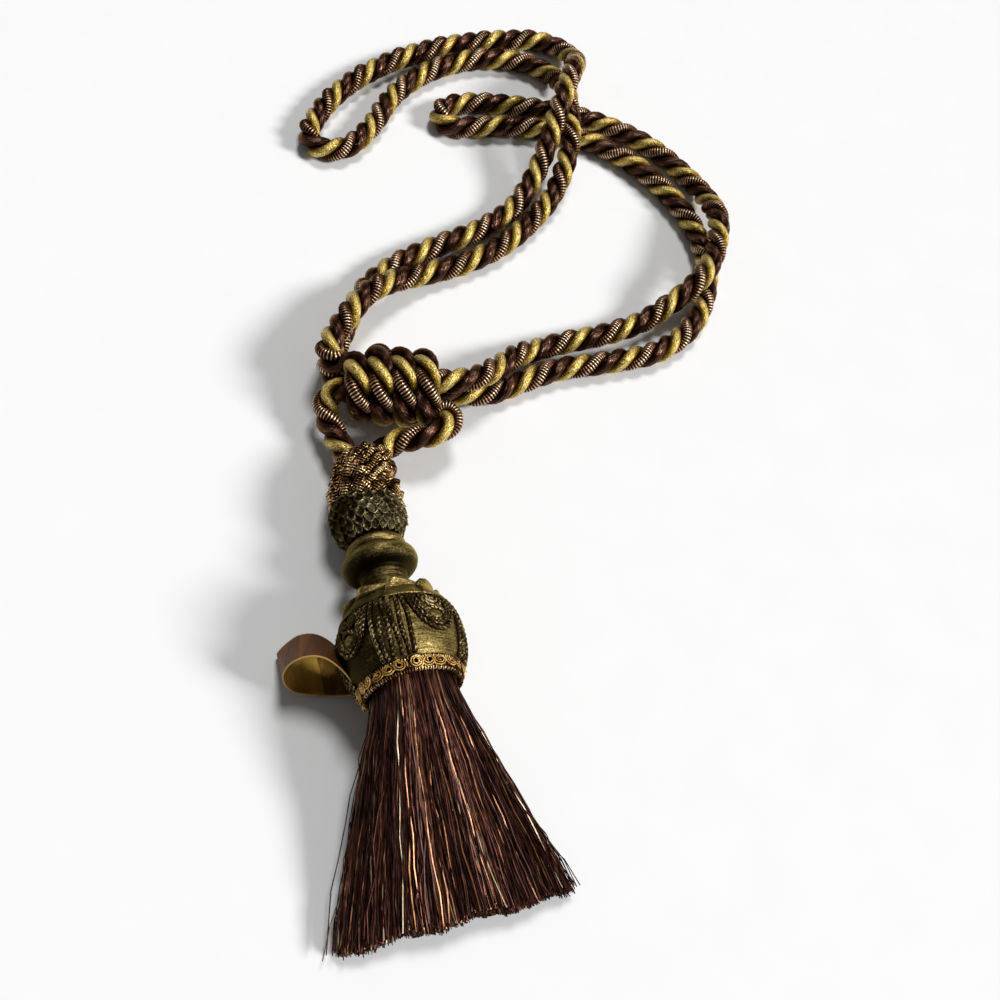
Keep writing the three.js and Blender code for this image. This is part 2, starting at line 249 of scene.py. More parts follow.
def knot_wraps():
    """The rope's route round the two passes, from the knot's right end to its left."""
    turns = np.arange(WRAP_TURNS[0] - WRAP_STEP, WRAP_TURNS[-1] + 10, -WRAP_STEP)
    places = np.interp(-turns, -np.array(WRAP_TURNS), WRAP_PLACES)[:, None]
    radii = np.interp(-turns, -np.array(WRAP_TURNS), WRAP_RADII)[:, None]
    angles = np.radians(turns)[:, None]
    out = np.cos(angles) * KNOT_BACK + np.sin(angles) * np.array([0, 0, 1])
    return KNOT_LEFT_END + places * KNOT_ALONG + radii * out


def unit(vectors):
    return vectors / np.linalg.norm(vectors, axis=-1, keepdims=True)


def smooth_line(points, spacing):
    """Evenly spaced points on the centripetal curve through the given ones, ends included."""
    knots = np.asarray(points, float)
    knots = np.vstack([2 * knots[0] - knots[1], knots, 2 * knots[-1] - knots[-2]])
    dense = []
    for before, start, end, after in zip(knots, knots[1:], knots[2:], knots[3:]):
        gaps = [np.linalg.norm(b - a) ** 0.5 for a, b in ((before, start), (start, end), (end, after))]
        leave = (start - before) / gaps[0] - (end - before) / (gaps[0] + gaps[1])
        leave = (leave + (end - start) / gaps[1]) * gaps[1]
        arrive = (end - start) / gaps[1] - (after - start) / (gaps[1] + gaps[2])
        arrive = (arrive + (after - end) / gaps[2]) * gaps[1]
        w = np.linspace(0, 1, 24, endpoint=False)[:, None]
        bend = 3 * (end - start) - 2 * leave - arrive
        fall = 2 * (start - end) + leave + arrive
        dense.append(start + leave * w + bend * w ** 2 + fall * w ** 3)
    return spaced(np.vstack([*dense, knots[-2]]), spacing)


def run_lengths(line):
    return np.concatenate([[0], np.cumsum(np.linalg.norm(np.diff(line, axis=0), axis=1))])


def at_places(line, places, values=None):
    """The line's points, or the values given along it, at places measured along it."""
    values = line if values is None else values
    reach = run_lengths(line)
    return np.stack([np.interp(places, reach, values[:, axis]) for axis in range(3)], axis=-1)


def spaced(line, spacing):
    length = run_lengths(line)[-1]
    return at_places(line, np.linspace(0, length, max(3, round(length / spacing) + 1)))


def eased(line, rounds):
    """Takes out small kinks by averaging each point with its neighbours."""
    for _ in range(rounds):
        line[1:-1] = (line[:-2] + 2 * line[1:-1] + line[2:]) / 4
    return line


STEEP = (0.3, 0.2, 0.93)  # a direction that no cord starts out in


def carried_sides(line):
    """A direction square to the line at each of its points, carried along without turning."""
    tangents = unit(np.gradient(line, axis=0))
    side = np.cross(tangents[0], STEEP)
    sides = np.empty_like(line)
    for index, tangent in enumerate(tangents):
        side = side - tangent * np.dot(side, tangent)
        side = side / np.linalg.norm(side)
        sides[index] = side
    return sides


FLOOR_GAP = 0.15
Grid = namedtuple("Grid", "points rows columns width length material worn")


class Skin:
    """Grids bent to shape in millimetres and joined into one mesh in metres, each with a run map."""

    def __init__(self):
        self.grids = []

    def lay(self, points, width, length, material=0, worn=1.0):
        """points is rows by columns by 3; width and length say what the run map measures.
        The wear value, 0 in a groove to 1 on a crest, with any painted shade and highlight, is kept as an
        attribute."""
        rows, columns = points.shape[0] - 1, points.shape[1] - 1
        worn = np.broadcast_to(worn, points.shape[:2]).ravel()
        points = np.maximum(points, (-np.inf, -np.inf, FLOOR_GAP)).reshape(-1, 3) * MM
        self.grids.append(Grid(points, rows, columns, width * MM, length * MM, material, worn))

    def tube(self, line, radius, sides, step, outward, skew=0, material=0, closed=False):
        """radius may be a function of (place along, angle round); skew is rows climbed in a turn."""
        if closed:
            line = np.vstack([line[-1:], line, line[:2]])
            outward = np.vstack([outward[-1:], outward, outward[:2]])
        reach = run_lengths(line)
        first = reach[1] if closed else 0.0
        length = (reach[-2] if closed else reach[-1]) - first
        rows = max(2, round(length / step))
        step = length / rows
        rows -= 0 if closed else skew
        row, column = np.mgrid[0:rows + 1, 0:sides + 1]
        along = (row + skew * column / sides) * step
        if closed:
            along = along % length
        angle = 2 * np.pi * column / sides
        tangents = unit(at_places(line, first + along, unit(np.gradient(line, axis=0))))
        side = at_places(line, first + along, outward)
        side = unit(side - tangents * np.sum(side * tangents, axis=-1, keepdims=True))
        size = radius(along, angle) if callable(radius) else np.full(angle.shape, radius)
        out = np.cos(angle)[..., None] * side + np.sin(angle)[..., None] * np.cross(tangents, side)
        points = at_places(line, first + along) + out * size[..., None]
        self.lay(points, 2 * np.pi * float(np.mean(size)), rows * step, material)

    def build(self, name, *materials, **finish):
        """The grids as one piece; finish is what finished_piece is asked for."""
        flat = bmesh.new()
        flat.loops.layers.uv.new("run")
        for grid in self.grids:
            size = {"x_segments": grid.columns, "y_segments": grid.rows, "size": 0.5}
            bmesh.ops.create_grid(flat, **size, calc_uvs=True)
        mesh = bpy.data.meshes.new(name)
        flat.to_mesh(mesh)
        flat.free()
        points = np.concatenate([grid.points for grid in self.grids])
        mesh.vertices.foreach_set("co", points.ravel())
        worn = np.concatenate([grid.worn for grid in self.grids])
        mesh.attributes.new("worn", "FLOAT", "POINT").data.foreach_set("value", worn.astype(np.float32))
        faces = np.array([grid.rows * grid.columns for grid in self.grids])
        picks = np.repeat([grid.material for grid in self.grids], faces)
        mesh.polygons.foreach_set("material_index", picks)
        scales = np.repeat([(grid.width, grid.length) for grid in self.grids], faces * 4, axis=0)
        run = mesh.uv_layers["run"].data
        corners = np.empty(len(run) * 2, np.float32)
        run.foreach_get("uv", corners)
        run.foreach_set("uv", (corners * scales.ravel()).astype(np.float32))
        return finished_piece(name, mesh, materials, **finish)


WELD = 2e-6


def finished_piece(name, mesh, materials, fill=True, outward=False, smooth=True):
    """An object of a mesh, its seams welded. Its open ends are closed, its faces turned outwards and
    its surface smoothed as asked."""
    welded = bmesh.new()
    welded.from_mesh(mesh)
    bmesh.ops.remove_doubles(welded, verts=welded.verts, dist=WELD)
    if fill:
        bmesh.ops.holes_fill(welded, edges=[edge for edge in welded.edges if edge.is_boundary])
    if outward:
        bmesh.ops.recalc_face_normals(welded, faces=welded.faces)
    for face in welded.faces:
        face.smooth = smooth
    welded.to_mesh(mesh)
    welded.free()
    for material in materials:
        mesh.materials.append(material)
    piece = bpy.data.objects.new(name, mesh)
    bpy.context.scene.collection.objects.link(piece)
    return piece


def settle(piece, slot, *nodes):
    """Fixes a piece to the object in place of its plain solids. The slot is not used."""
    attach(piece, "root")
    if nodes:
        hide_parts(*nodes)


rope_points = [*LEG_LEFT[::-1], PASS_ABOVE, *LOOP_RIGHT, *knot_wraps(), *LOOP_LEFT]
rope_points += [PASS_BELOW, *LEG_RIGHT]
rope_line = eased(smooth_line(rope_points, spacing=0.5), rounds=30)
rope_sides = carried_sides(rope_line)


def strand_line(phase):
    """A strand's own axis as it winds to the left about the rope's, and the way out at each point."""
    run = run_lengths(rope_line)
    slack = math.radians(KNOT_EASE) * np.clip(run / KNOT_RUN, 0, 1)
    turn = math.radians(phase) + slack - 2 * np.pi * run / LAY_LENGTH
    across = np.cross(unit(np.gradient(rope_line, axis=0)), rope_sides)
    out = np.cos(turn)[:, None] * rope_sides + np.sin(turn)[:, None] * across
    return rope_line + out * STRAND_AXIS_RADIUS, out


def wire_turns(radius, groove):
    """The radius of a wound strand, whose rows lie by turns on a wire and in the groove beside it."""
    def radius_at(along, angle):
        rows = np.arange(along.shape[0])[:, None] % 2
        return radius - groove * np.broadcast_to(rows, along.shape)
    return radius_at


yarn = (STRAND_RADIUS, YARN_STEP, 0)
wound = (wire_turns(STRAND_RADIUS + WIRE_PROUD, WIRE_GROOVE), WIRE_PITCH / 2, 2)
rope = Skin()
for strand, (radius, step, skew) in enumerate((yarn, yarn, wound)):
    axis, out = strand_line(120 * strand)
    rope.tube(axis, radius, STRAND_SIDES, step, out, skew, material=strand)


def run_coords(shade, across, along):
    """The piece's own run map in millimetres, stretched by the given numbers."""
    run = shade.add("UVMap", {"uv_map": "run"})
    return shade.add("Mapping", {}, {"Vector": run, "Scale": (across / MM, along / MM, 1)})


def run_part(shade, axis, unit_length=1.0):
    """The run map's X, across the piece or round it, or its Y, along it, in lengths of so many mm."""
    run = shade.add("UVMap", {"uv_map": "run"})
    return shade.add("SeparateXYZ", {}, {"Vector": run}, axis) * (1 / (unit_length * MM))


def painted_crest_light(shade, radius):
    """Painted light: 1 on the side of a strand that faces away from what it lies on, 0 in shade against it.
    """
    return run_part(shade, "X", radius).maths("COSINE") * 0.5 + 0.5


def wire_ridge(shade, pitch):
    """1 along the top of each turn of wound wire, 0 between two turns."""
    return run_part(shade, "Y", pitch / (2 * math.pi)).maths("COSINE") * 0.5 + 0.5


WARM_EDGE = (1.0, 0.74, 0.56)  # what dark yarn reflects at a glancing angle


def gold_yarn_material():
    """Soft yarn with metal thread in it: a grainy sheen, with a painted highlight on the crest and painted
    shade at the sides.
    """
    material, shade = new_material("gold_yarn")
    fibres = shade.noise(run_coords(shade, 2.0, 0.6), detail=3.0)
    grain = shade.noise(run_coords(shade, 2.2, 1.9))
    # crest is painted light: brighter along each strand's top, darker down its sides.
    crest = painted_crest_light(shade, STRAND_RADIUS)
    tone = fibres * 0.4 + grain * 0.7 + crest * 0.56 - 0.19
    colour = tone.ramp(
        (0.56, (0.013, 0.005, 0.0005)), (0.75, (0.095, 0.046, 0.003)),
        (0.88, (0.42, 0.26, 0.027)), (0.98, (1.0, 0.81, 0.32)),
    )
    finish_material(
        material, fibres + grain * 1.6, 0.00022, Base_Color=colour, Metallic=0.6,
        Roughness=0.44 - grain * 0.26, Specular_IOR_Level=0.2,
    )
    return material


def brown_satin_material():
    """Floss laid parallel: nearly black, with a painted thin wine-brown highlight along the crest."""
    material, shade = new_material("brown_satin")
    fibres = shade.noise(run_coords(shade, 4.5, 0.16))
    tone = fibres * 0.9 + painted_crest_light(shade, STRAND_RADIUS) * 0.35
    colour = tone.ramp(
        (0.5, (0.007, 0.002, 0.001)), (0.76, (0.026, 0.0085, 0.0045)), (0.93, (0.26, 0.14, 0.095)),
    )
    finish_material(
        material, fibres, 0.0003, Base_Color=colour, Roughness=0.25, Metallic=0.95,
        Specular_IOR_Level=0.2, Specular_Tint=WARM_EDGE,
    )
    return material


def copper_wire_material():
    """Fine wire wound close: a painted pale highlight on each turn and on the crest, painted shade near
    black between the turns.
    """
    material, shade = new_material("copper_wire")
    ridge = wire_ridge(shade, WIRE_PITCH)
    patches = shade.noise(run_coords(shade, 0.35, 0.25))
    tone = ridge * 0.62 + (patches - 0.5) * 0.4 + painted_crest_light(shade, STRAND_RADIUS) * 0.45
    colour = tone.ramp(
        (0.45, (0.010, 0.002, 0.0005)), (0.74, (0.066, 0.020, 0.005)),
        (0.92, (0.23, 0.108, 0.048)), (1.0, (0.86, 0.65, 0.44)),
    )
    finish_material(
        material, ridge, 0.00024, Base_Color=colour, Metallic=ridge * 0.4 + 0.45,
        Roughness=0.40 - patches * 0.15, Specular_IOR_Level=0.2, Specular_Tint=WARM_EDGE,
    )
    return material


brown_satin = brown_satin_material()
rope_piece = rope.build("rope", gold_yarn_material(), brown_satin, copper_wire_material())
settle(
    rope_piece, "rope", "rope_knot", "rope_leg_left", "rope_leg_right", "rope_loop_right", "rope_loop_left",
)


# ---- Gilded head --------------------------------------------------------------------------------
# Moulded in one piece, gilded, then rubbed with dark patina: a bowl with a crown of nine leaves, a
# grooved neck, a thick ring, a bead, and a ball covered in acorn-like scales.

TASSEL_ORIGIN = np.array([0, 8, 21.9])
TILT = math.radians(7.9)


def on_tassel(turn, place, radius):
    """Points in millimetres at turns in degrees round the tassel's axis, from its top to the right."""
    turn, place, radius = np.broadcast_arrays(np.radians(turn), place, radius)
    across, up = radius * np.sin(turn), radius * np.cos(turn)
    back = place * math.cos(TILT) + up * math.sin(TILT)
    rise = up * math.cos(TILT) - place * math.sin(TILT)
    return np.stack([across, back, rise], axis=-1) + TASSEL_ORIGIN


def outward_on_tassel(turn):
    return on_tassel(turn, 0.0, 1.0) - TASSEL_ORIGIN


def turned(skin, profile, columns, shape=None, material=0):
    """A profile of (radius, place) points turned round the tassel's axis, and bent by a shape if one
    is given. Its faces point inwards until its piece is built with outward=True."""
    profile = np.asarray(profile, float)
    turn = np.linspace(0, 360, columns + 1)[None, :]
    radius, place, worn = profile[:, :1] + 0 * turn, profile[:, 1:] + 0 * turn, 1.0
    if shape is not None:
        radius, place, worn = shape(turn, radius, place)
    girth = 2 * np.pi * float(radius.mean())
    length = float(np.linalg.norm(np.diff(profile, axis=0), axis=1).sum())
    skin.lay(on_tassel(-turn, place, radius), girth, length, material, worn)


def arc(radius, place, size, start, end, steps):
    angles = np.linspace(start, end, steps)
    return np.stack([radius + size * np.cos(angles), place + size * np.sin(angles)], axis=-1)


def smooth_side(side, spacing):
    return smooth_line([(radius, place, 0) for radius, place in side], spacing)[:, :2]


LEFT_DARKER, LEFT_FROM = 0.8, 0.15


def painted_left_shade(turn):
    """Painted shade: how much darker the gilding is painted at a turn round the axis, most on the left."""
    return LEFT_DARKER * np.clip(np.sin(np.radians(turn)) - LEFT_FROM, 0, 1)


BOWL_SIDE = [
    (18.7, -18.4), (20.3, -15.5), (21.4, -11), (21.8, -6),
    (21.6, -1.5), (20.6, 2.5), (18.6, 6), (16.4, 8.2),
]
bowl_side = smooth_side(BOWL_SIDE, 0.8)


def bowl_radius(place):
    return np.interp(place, bowl_side[:, 1], bowl_side[:, 0])


head_skin = Skin()
foot = [(0.01, -21), (14.6, -21), (14.8, -20.6), (14.8, -19.2), (17, -18.7)]
neck = [(14.2, 9.4), (12.4, 11.4), (11.0, 13.2), (10.3, 14.6), (9.6, 15.6), (8.7, 16.6)]
NECK_RIDGE = [(8.2, 0), (8.75, 0.4), (8.8, 1.2), (8.2, 1.6)]
for ridge_place in (17.0, 18.9, 20.8, 22.7):
    neck += [(radius, ridge_place + rise) for radius, rise in NECK_RIDGE]


def patina_and_painted_light(turn, radius, place):
    """Leaves patina dark in the cove behind the crown and beside the ring, rubs the ring bright on its
    upper side, partly a painted highlight, and paints shade down the left side.
    """
    places = (7, 9, 14, 17, 24, 25, 26.5, 31, 33.5, 35, 38)
    worn = np.interp(place, places, (1, 0, 0, 0.7, 0.65, 0, 0.6, 1.1, 0.5, 0.8, 1))
    return radius, place, worn - painted_left_shade(turn) * np.interp(place, (8, 24), (1.6, 0.6))


turned(head_skin, [*foot, *bowl_side, *neck, (8.4, 24.8), (9.2, 25.4)], 96, patina_and_painted_light)
turned(head_skin, [(9.1, 24.9), *arc(9.8, 29.5, 4.5, -1.75, 1.75, 18), (8.6, 34.2)], 80, patina_and_painted_light)
turned(head_skin, [(8.5, 33.9), *arc(9.2, 36.2, 2.2, -1.4, 1.4, 8), (8.6, 39.4)], 80)

# Rows of cupped scales lie round the ball, each row set half a scale on from the one below.
BALL_PLACE, BALL_RADIUS = 50.6, 13.4
SCALE_ROWS, SCALES_ROUND, SCALE_RISE = 9, 21, 1.9
SCALES_FROM, SCALES_SPAN = -52, 105  # degrees up the ball
SCALE_HALF_WIDTH, SCALE_HALF_HEIGHT = 0.56, 0.84  # in scales, so that they overlap
scale_dice = np.random.default_rng(7)
scale_size = scale_dice.uniform(0.65, 1.1, (SCALE_ROWS + 3, SCALES_ROUND))
scale_slip = scale_dice.uniform(-0.13, 0.13, (3, SCALE_ROWS + 3, SCALES_ROUND))


def scaly_ball(turn, radius, place):
    """Raises the scales on the turned ball, square to its surface: steep below, sloping off above."""
    slope = np.arctan2(place - BALL_PLACE, radius)
    level = (np.degrees(slope) - SCALES_FROM) / SCALES_SPAN * SCALE_ROWS + 1
    best = np.zeros(np.broadcast(level, turn).shape)
    for row_step in (-1, 0, 1):
        row = np.clip(np.round(level).astype(int) + row_step, 0, SCALE_ROWS + 2)
        column_place = turn / 360 * SCALES_ROUND + 0.5 * (row % 2)
        for column_step in (0, 1):
            column = np.floor(column_place).astype(int) + column_step
            key = (row, column % SCALES_ROUND)
            across = column_place - column + scale_slip[0][key]
            along = level - row + scale_slip[1][key]
            leaned = along + across * scale_slip[2][key] * 2
            aside = np.abs(across / SCALE_HALF_WIDTH) ** 1.5
            inward = np.clip(1 - aside - np.abs(leaned / SCALE_HALF_HEIGHT) ** 1.5, 0, 1)
            rim = np.clip(inward / 0.16, 0, 1) ** 0.6
            dish = np.clip((inward - 0.2) / 0.5, 0, 1)
            lip = 0.85 - 0.35 * np.clip(leaned, -0.7, 0.7)
            best = np.maximum(best, rim * (1 - 0.42 * dish) * scale_size[key] * lip)
    rise = SCALE_RISE * best * np.clip((np.degrees(slope) + 54) / 8, 0, 1)
    # The scale rims are rubbed bright; the left side of the ball gets painted shade.
    return radius + rise * np.cos(slope), place + rise * np.sin(slope), best - 0.4 * painted_left_shade(turn)


ball_skin = Skin()
turned(ball_skin, arc(0, BALL_PLACE, BALL_RADIUS, -0.98, 0.75, 120), 336, scaly_ball)

# Nine broad leaves make a crown round the foot of the neck. Each steps out over the next one on its
# left, folds its tip out there, and slants down and dies away to its right.
LEAVES = 9
LEAF_TURN, LEAF_LEAN = 15.0, 10.0
COLLAR_HEIGHT, CROWN_FOOT, CROWN_TOP = 10, 4.4, 11.9
FOLD_OUT, LEAF_THICKNESS = 3.4, 0.9


def leaf_crown(turn, radius, place):
    """Bends a plain collar into leaves: wide at the foot, waisted, folding out at the tips."""
    rise = place / COLLAR_HEIGHT
    rightward = 1 - ((turn + LEAF_LEAN * rise - LEAF_TURN) / 360 * LEAVES) % 1
    point = np.interp(rightward, (0, 0.12, 0.35, 0.7, 1), (0.7, 1, 0.8, 0.3, 0.1))
    top = CROWN_TOP + 1.1 * point + 0.5 * np.sin(np.radians(turn * 2 + 40))
    waist = np.interp(rise, (0, 0.15, 0.35, 0.55, 0.75, 1), (19.9, 19.4, 18.0, 16.6, 15.7, 15.1))
    fold = np.clip(rise - 0.38 - 0.55 * rightward, 0, 1)
    fold = fold * np.interp(rightward, (0, 0.18), (0.45, 1.1))
    overlap = 0.6 * (1 - rightward) ** 2 * np.clip(rise * 3, 0, 1)
    # Folded tips are rubbed bright, partly a painted highlight; each leaf's right end, under its neighbour,
    # and the left side get painted shade.
    worn = 1.0 + 4.5 * np.clip(fold, 0, 0.35)
    worn = worn - 3 * np.clip(rightward - 0.8, 0, 1) - 2.4 * painted_left_shade(turn)
    return waist + FOLD_OUT * fold + overlap, CROWN_FOOT + (top - CROWN_FOOT) * rise, worn


crown_skin = Skin()
collar = [(15, rise) for rise in np.linspace(0, COLLAR_HEIGHT, 21)]
turned(crown_skin, collar, LEAVES * 24, leaf_crown)

# Twisted cords are moulded on the bowl: bands of six from crown to trim, and between the bands swags
# that hang from the crown round a plain oval boss with a cord round it.
BANDS, BAND_TURN, BAND_CORDS, BAND_SPREAD = 4, -14.5, 6, 7.0
BAND_FROM, BAND_TO = -18.2, 5.6
SWAG_TOP = 6.0
SWAG_ROWS = (  # half width in degrees, drop, cord radius
    (25, 16.3, 0.85), (21.0, 14.4, 0.75), (17.3, 12.9, 0.7),
    (13.2, 7.4, 0.7), (10, 5.6, 0.7), (6.8, 3.9, 0.7),
)
BOSS_PLACE, BOSS_TURN, BOSS_REACH, BOSS_RISE = -5.0, 7.6, 2.1, 1.3
BOSS_CORD_TURN, BOSS_CORD_REACH = 10.4, 3.1
RELIEF_RADIUS = 0.85
RELIEF_PITCH = 1.9
relief_skin = Skin()


def twisted(radius, depth, pitch):
    """The radius of a two-ply twisted cord."""
    def radius_at(along, angle):
        return radius * (1 + depth * np.cos(2 * angle - 2 * np.pi * along / pitch))
    return radius_at


def relief_cord(turns, places, lift, radius=RELIEF_RADIUS, closed=False):
    """A twisted cord through the given turns and places, lifted so far off the bowl."""
    line = on_tassel(turns, places, bowl_radius(places) + lift)
    cord = twisted(radius, 0.13, RELIEF_PITCH)
    relief_skin.tube(line, cord, 8, 0.45, outward_on_tassel(turns), closed=closed)


boss_skin = Skin()
for band in range(BANDS):
    middle = BAND_TURN + band * 360 / BANDS
    for cord in range(BAND_CORDS):
        offset = (cord - (BAND_CORDS - 1) / 2) * BAND_SPREAD
        places = np.linspace(BAND_FROM, BAND_TO, 42)
        wander = np.sin(places * 0.25 + cord * 1.7 + band)
        narrowing = 1 - 0.006 * (places + 18)
        relief_cord(middle + offset * narrowing + wander, places, 0.3 + 0.15 * (cord % 2))
    swag = middle + 180 / BANDS
    sweep = np.linspace(-math.pi / 2, math.pi / 2, 48)
    for half_width, drop, radius in SWAG_ROWS:
        relief_cord(swag + half_width * np.sin(sweep), SWAG_TOP - drop * np.cos(sweep), 0.25, radius)
    sweep = np.linspace(0, 2 * math.pi, 60, endpoint=False)
    turns = swag + BOSS_CORD_TURN * np.sin(sweep)
    relief_cord(turns, BOSS_PLACE + BOSS_CORD_REACH * np.cos(sweep), 0.2, 0.8, closed=True)
    down = np.linspace(0, math.pi / 2, 7)[:, None]
    around = np.linspace(0, 2 * math.pi, 19)[None, :]
    places = BOSS_PLACE + BOSS_REACH * np.sin(down) * np.sin(around)
    turns = swag + BOSS_TURN * np.sin(down) * np.cos(around)
    radii = bowl_radius(places) + BOSS_RISE * np.cos(down) - 0.2
    boss_skin.lay(on_tassel(turns, places, radii)[:, ::-1], width=12, length=6)


GILT_EDGE = (1.0, 0.86, 0.5)  # what the gilding reflects at a glancing angle


def gilt_material(name, dark, gold, pale, wear_low, wear_high, roughness):
    """Rubbed gilding: streaks brushed round the form, dark patina in patches and in the grooves, and
    painted shade and highlights.
    """
    material, shade = new_material(name)
    streaks = shade.noise(run_coords(shade, 0.12, 3.6), detail=4.0)
    place = shade.place()
    patches = shade.noise(place, 110.0, 4.0, Roughness=0.6)
    specks = shade.noise(place, 1300.0, 3.0)
    # The wear attribute: rubbed crests and patina, with painted shade on the left and painted highlights.
    crest = shade.add("Attribute", {"attribute_name": "worn"}, output="Fac")
    worn = patches * 0.8 + streaks * 0.45 + specks * 0.35 + crest * 0.55
    worn = worn.clamped(wear_low, wear_high)
    bright = (streaks * 0.6 + specks * 0.4).ramp((0.4, gold), (0.62, pale))
    finish_material(
        material, streaks + specks * 1.2, 0.00014, Base_Color=worn.mix(dark, bright),
        Metallic=0.88, Roughness=roughness + 0.16 - worn * 0.18, Specular_Tint=GILT_EDGE,
    )
    return material


def relief_material():
    """Moulded cords: gold rubbed on their tops, dark in the grooves beside them."""
    material, shade = new_material("relief_gilt")
    around = run_part(shade, "X", RELIEF_RADIUS)
    along = run_part(shade, "Y", RELIEF_PITCH / (2 * math.pi))
    top = around.maths("COSINE")
    ply = (around * 2 - along).maths("COSINE")
    place = shade.place()
    specks = shade.noise(place, 1500.0, 3.0)
    patches = shade.noise(place, 160.0, 3.0)
    rubbed = (top * 0.3 + ply * 0.22 + (specks - 0.5) * 2.6 + (patches - 0.5) * 2.0).clamped(0.3, 1.1)
    finish_material(
        material, specks, 0.0003, Base_Color=rubbed.mix((0.020, 0.009, 0.003), (0.56, 0.42, 0.20)),
        Metallic=0.85, Roughness=0.5 - rubbed * 0.14, Specular_Tint=GILT_EDGE,
    )
    return material


satin_gilt = gilt_material(
    "satin_gilt", dark=(0.008, 0.005, 0.0015), gold=(0.165, 0.108, 0.021), pale=(0.55, 0.41, 0.15),
    wear_low=0.95, wear_high=1.75, roughness=0.27,
)
dark_gilt = gilt_material(
    "dark_gilt", dark=(0.010, 0.006, 0.0015), gold=(0.155, 0.122, 0.055), pale=(0.54, 0.45, 0.23),
    wear_low=0.95, wear_high=1.6, roughness=0.30,
)
relief_gilt = relief_material()

head = head_skin.build("tassel_head_turned", satin_gilt, outward=True)
settle(head, "gilt", "tassel_head")
settle(ball_skin.build("tassel_ball_scaled", dark_gilt, outward=True), "gilt")
crown = crown_skin.build("leaf_crown", satin_gilt, fill=False)
leaf_wall = crown.modifiers.new("leaf_wall", "SOLIDIFY")
leaf_wall.thickness = LEAF_THICKNESS * MM
leaf_wall.offset = -1.0  # outwards, as the collar's faces point inwards
settle(crown, "gilt")
settle(relief_skin.build("relief_cords", relief_gilt), "gilt")
settle(boss_skin.build("relief_bosses", satin_gilt), "gilt")


# ---- Cap of knotted wire cord -------------------------------------------------------------------
# Where the two rope ends enter, cord wound with wire is knotted in rows of close hitches over the top
# of the ball, like a tight crocheted bonnet. A dark core of satin shows between the hitches.

CAP_CORD_RADIUS = 1.85
CAP_WIRE_PITCH, CAP_WIRE_GROOVE = 0.95, 0.3
CAP_LEAN = 5.0
CAP_SIDE = [
    (13.9, 56.0), (13.6, 59), (12.9, 63), (12.0, 67),
    (11.3, 71), (10.3, 75.5), (8.0, 79.4), (4.0, 81.8),
]
CAP_ROWS = (  # the place of a row, and the number of hitches in it
    (55.4, 14), (58.9, 14), (62.5, 13), (66.0, 12), (69.4, 11), (72.8, 10), (75.9, 8), (78.4, 6),
)
CORE_DEPTH = 1.4
cap_side = smooth_side(CAP_SIDE, 0.5)


def on_cap(turn, place, lift):
    """Points on the bonnet, which leans to the right towards its top."""
    lean = CAP_LEAN * np.clip((place - 57) / 25, 0, 1.2) ** 1.4
    points = on_tassel(turn, place, np.interp(place, cap_side[:, 1], cap_side[:, 0]) + lift)
    points[..., 0] += lean
    return points


cap_dice = np.random.default_rng(11)
hitches = Skin()
hitch_cord = wire_turns(CAP_CORD_RADIUS, CAP_WIRE_GROOVE)
sweep = np.linspace(0, 1, 14)
for row, (start, count) in enumerate(CAP_ROWS):
    for index in range(count):
        width = 360 / count
        turn = (index + 0.5 * (row % 2)) * width + cap_dice.uniform(-6, 6)
        lift, tall = cap_dice.uniform(0.0, 1.0), cap_dice.uniform(3.2, 4.6)
        turns = turn + width * (0.92 * (sweep - 0.5) + 0.20 * np.sin(2 * np.pi * sweep))
        places = start + tall * np.sin(np.pi * sweep) - 0.8 + cap_dice.uniform(0.6, 2.2) * sweep
        left = max(0.0, -math.sin(math.radians(turn))) * max(0.0, 1 - row / 4)
        arch = (lift + 2.3) * np.sin(np.pi * sweep) ** 0.7 - 1.9
        line = on_cap(turns, places + 3 * left, arch - left)
        hitches.tube(line, hitch_cord, 8, CAP_WIRE_PITCH / 2, outward_on_tassel(turns), skew=2)
cap_core_skin = Skin()
around = np.linspace(0, -360, 41)[None, :]
cap_core_skin.lay(on_cap(around, cap_side[:, 1:] + 0 * around, -CORE_DEPTH), width=60, length=25)


def cap_wire_material():
    """Fine wire wound on cord, with random glitter: painted shade between the turns and under the hitches,
    a painted highlight on each turn and on top.
    """
    material, shade = new_material("cap_wire")
    ridge = wire_ridge(shade, CAP_WIRE_PITCH)
    place = shade.place()
    patches = shade.noise(place, 160.0)
    glitter = shade.noise(place, 1500.0, 1.0)
    tone = ridge * 0.66 + (patches - 0.5) * 1.5 + (glitter - 0.5) * 0.8
    tone = tone + painted_crest_light(shade, CAP_CORD_RADIUS) * 0.26 - 0.03
    colour = tone.ramp(
        (0.2, (0.004, 0.0015, 0.0004)), (0.5, (0.026, 0.010, 0.002)),
        (0.75, (0.20, 0.094, 0.026)), (1.0, (0.96, 0.69, 0.35)),
    )
    finish_material(
        material, ridge, 0.0002, Base_Color=colour, Metallic=0.8, Roughness=0.42 - glitter * 0.2,
        Specular_IOR_Level=0.25, Specular_Tint=WARM_EDGE,
    )
    return material


cap_wire = cap_wire_material()
settle(hitches.build("cap_hitches", cap_wire), "cap_cord", "tassel_cap")
settle(cap_core_skin.build("cap_core", brown_satin, outward=True), "cap_cord")


# ---- Gimp trim ----------------------------------------------------------------------------------
# A woven band hides the joint between bowl and skirt. Curls of coiled gold wire, each nearly two and
# a half turns, are glued on it between two twisted edge cords.

